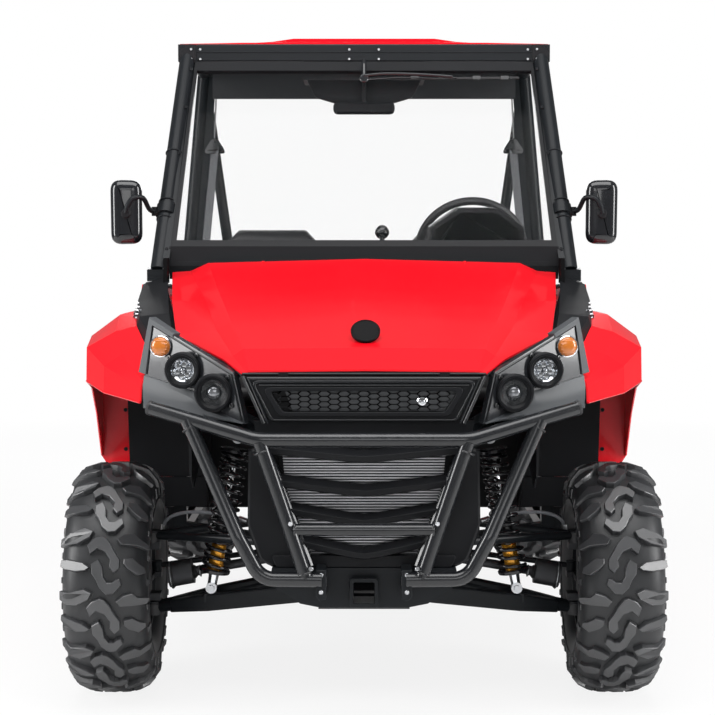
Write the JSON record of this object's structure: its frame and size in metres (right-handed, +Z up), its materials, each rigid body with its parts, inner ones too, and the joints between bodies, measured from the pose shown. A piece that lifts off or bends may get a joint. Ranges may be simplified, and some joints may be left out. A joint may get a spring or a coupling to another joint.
{
  "type": "side by side utility vehicle",
  "caption": "two-seat off-road utility vehicle with roll cage, windshield, hard roof, brush guard and tilting cargo bed",
  "frame": {"origin": "middle of the footprint on the ground, halfway between the ends", "axes": "+X is the driver's left, the front faces -Y, +Z is up"},
  "size_m": [1.633, 2.984, 1.9613],
  "materials": {
    "arch_liners": "moulded black",
    "brush_guard": "satin black powder coat",
    "cab_tub": "moulded black",
    "cargo_bed": "gloss paint",
    "cowl_trims": "moulded black",
    "dampers": "gold damper body",
    "dashboard": "moulded black",
    "door_left": "gloss paint",
    "door_right": "gloss paint",
    "driveline": "dark cast metal",
    "driver_controls": "moulded black",
    "engine_block": "dark cast metal",
    "fenders": "glossy moulded colour",
    "front_fascia": "moulded black",
    "front_receiver": "satin black powder coat",
    "grille_slats": "gloss black",
    "headlamps": "clear lens",
    "hood": "glossy moulded colour",
    "indicators": "amber lens",
    "interior_mirror": "moulded black",
    "knuckle_left": "dark cast metal",
    "knuckle_right": "dark cast metal",
    "lamp_pods": "gloss black",
    "main_frame": "satin black powder coat",
    "muffler": "heat-tinted steel",
    "nose_frame": "satin black powder coat",
    "radiator": "finned core",
    "rear_fenders": "moulded black",
    "rear_hitch": "satin black powder coat",
    "rear_uprights": "dark cast metal",
    "rim_front_left": "black cast wheel",
    "rim_front_right": "black cast wheel",
    "rim_rear_left": "black cast wheel",
    "rim_rear_right": "black cast wheel",
    "rockers": "moulded black",
    "roof_liner": "moulded black",
    "roof_panel": "glossy moulded colour",
    "rops_front": "satin black powder coat",
    "rops_rear": "satin black powder coat",
    "seat_backs": "black vinyl over foam",
    "seat_cushions": "black vinyl over foam",
    "side_mirrors": "moulded black",
    "skid_plate": "satin black powder coat",
    "springs": "black coil",
    "steering_rack": "dark cast metal",
    "steering_wheel": "soft grip",
    "tail_frame": "satin black powder coat",
    "tail_lamps": "red lens",
    "tailgate": "gloss paint",
    "tie_rods": "zinc plated",
    "tyre_front_left": "knobby rubber",
    "tyre_front_right": "knobby rubber",
    "tyre_rear_left": "knobby rubber",
    "tyre_rear_right": "knobby rubber",
    "upper_grille": "gloss black",
    "windshield_frame": "black seal",
    "windshield_glass": "laminated glass",
    "wiper": "moulded black",
    "wishbones": "satin black"
  },
  "bodies": {
    "chassis": {"arch_liners": "arch_liners", "brush_guard": "brush_guard", "cab_tub": "cab_tub", "cowl_trims": "cowl_trims", "dampers": "dampers", "dashboard": "dashboard", "driveline": "driveline", "driver_controls": "driver_controls", "engine_block": "engine_block", "fenders": "fenders", "front_fascia": "front_fascia", "front_receiver": "front_receiver", "grille_slats": "grille_slats", "headlamps": "headlamps", "indicators": "indicators", "interior_mirror": "interior_mirror", "lamp_pods": "lamp_pods", "main_frame": "main_frame", "muffler": "muffler", "nose_frame": "nose_frame", "radiator": "radiator", "rear_fenders": "rear_fenders", "rear_hitch": "rear_hitch", "rear_uprights": "rear_uprights", "rockers": "rockers", "roof_liner": "roof_liner", "roof_panel": "roof_panel", "rops_front": "rops_front", "rops_rear": "rops_rear", "seat_backs": "seat_backs", "seat_cushions": "seat_cushions", "side_mirrors": "side_mirrors", "skid_plate": "skid_plate", "springs": "springs", "steering_rack": "steering_rack", "tail_frame": "tail_frame", "tail_lamps": "tail_lamps", "upper_grille": "upper_grille", "windshield_frame": "windshield_frame", "windshield_glass": "windshield_glass", "wiper": "wiper", "wishbones": "wishbones"},
    "hood": {"hood": "hood"},
    "door_left": {"door_left": "door_left"},
    "door_right": {"door_right": "door_right"},
    "cargo_bed": {"cargo_bed": "cargo_bed"},
    "tailgate": {"tailgate": "tailgate"},
    "knuckle_left": {"knuckle_left": "knuckle_left"},
    "knuckle_right": {"knuckle_right": "knuckle_right"},
    "steering_links": {"tie_rods": "tie_rods"},
    "steering_wheel": {"steering_wheel": "steering_wheel"},
    "wheel_front_left": {"tyre_front_left": "tyre_front_left", "rim_front_left": "rim_front_left"},
    "wheel_front_right": {"tyre_front_right": "tyre_front_right", "rim_front_right": "rim_front_right"},
    "wheel_rear_left": {"tyre_rear_left": "tyre_rear_left", "rim_rear_left": "rim_rear_left"},
    "wheel_rear_right": {"tyre_rear_right": "tyre_rear_right", "rim_rear_right": "rim_rear_right"}
  },
  "joints": [
    {"name": "hood_hinge", "type": "hinge", "parent": "chassis", "child": "hood", "pos_m": [0, -0.632, 1.19], "axis": [-1, 0, 0], "range_deg": [0, 50]},
    {"name": "door_left_hinge", "type": "hinge", "parent": "chassis", "child": "door_left", "pos_m": [0.702, -0.498, 0.8], "axis": [0, 0, -1], "range_deg": [0, 70]},
    {"name": "door_right_hinge", "type": "hinge", "parent": "chassis", "child": "door_right", "pos_m": [-0.702, -0.498, 0.8], "axis": [0, 0, 1], "range_deg": [0, 70]},
    {"name": "bed_tilt", "type": "hinge", "parent": "chassis", "child": "cargo_bed", "pos_m": [0, 1.385, 0.722], "axis": [-1, 0, 0], "range_deg": [0, 45]},
    {"name": "tailgate_hinge", "type": "hinge", "parent": "cargo_bed", "child": "tailgate", "pos_m": [0, 1.456, 0.745], "axis": [-1, 0, 0], "range_deg": [0, 90]},
    {"name": "steer_left", "type": "hinge", "parent": "chassis", "child": "knuckle_left", "pos_m": [0.6, -0.95, 0.325], "axis": [0, 0, 1], "range_deg": [-28, 28]},
    {"name": "steer_right", "type": "hinge", "parent": "chassis", "child": "knuckle_right", "pos_m": [-0.6, -0.95, 0.325], "axis": [0, 0, 1], "range_deg": [-28, 28]},
    {"name": "rack_slide", "type": "slide", "parent": "chassis", "child": "steering_links", "axis": [-1, 0, 0], "range_m": [-0.05, 0.05]},
    {"name": "steering_turn", "type": "hinge", "parent": "chassis", "child": "steering_wheel", "pos_m": [0.365, 0.1, 1.248], "axis": [0, 0.9063, 0.4226], "range_deg": [-270, 270]},
    {"name": "spin_front_left", "type": "hinge", "parent": "knuckle_left", "child": "wheel_front_left", "pos_m": [0.699, -0.95, 0.325], "axis": [1, 0, 0], "continuous": true},
    {"name": "spin_front_right", "type": "hinge", "parent": "knuckle_right", "child": "wheel_front_right", "pos_m": [-0.699, -0.95, 0.325], "axis": [1, 0, 0], "continuous": true},
    {"name": "spin_rear_left", "type": "hinge", "parent": "chassis", "child": "wheel_rear_left", "pos_m": [0.655, 1.05, 0.325], "axis": [1, 0, 0], "continuous": true},
    {"name": "spin_rear_right", "type": "hinge", "parent": "chassis", "child": "wheel_rear_right", "pos_m": [-0.655, 1.05, 0.325], "axis": [1, 0, 0], "continuous": true}
  ],
  "couplings": [
    {"joint": "steer_right", "follows": "steer_left", "ratio": 1},
    {"joint": "rack_slide", "follows": "steer_left", "m_per_rad": 0.101},
    {"joint": "steering_turn", "follows": "steer_left", "ratio": 9.6}
  ]
}
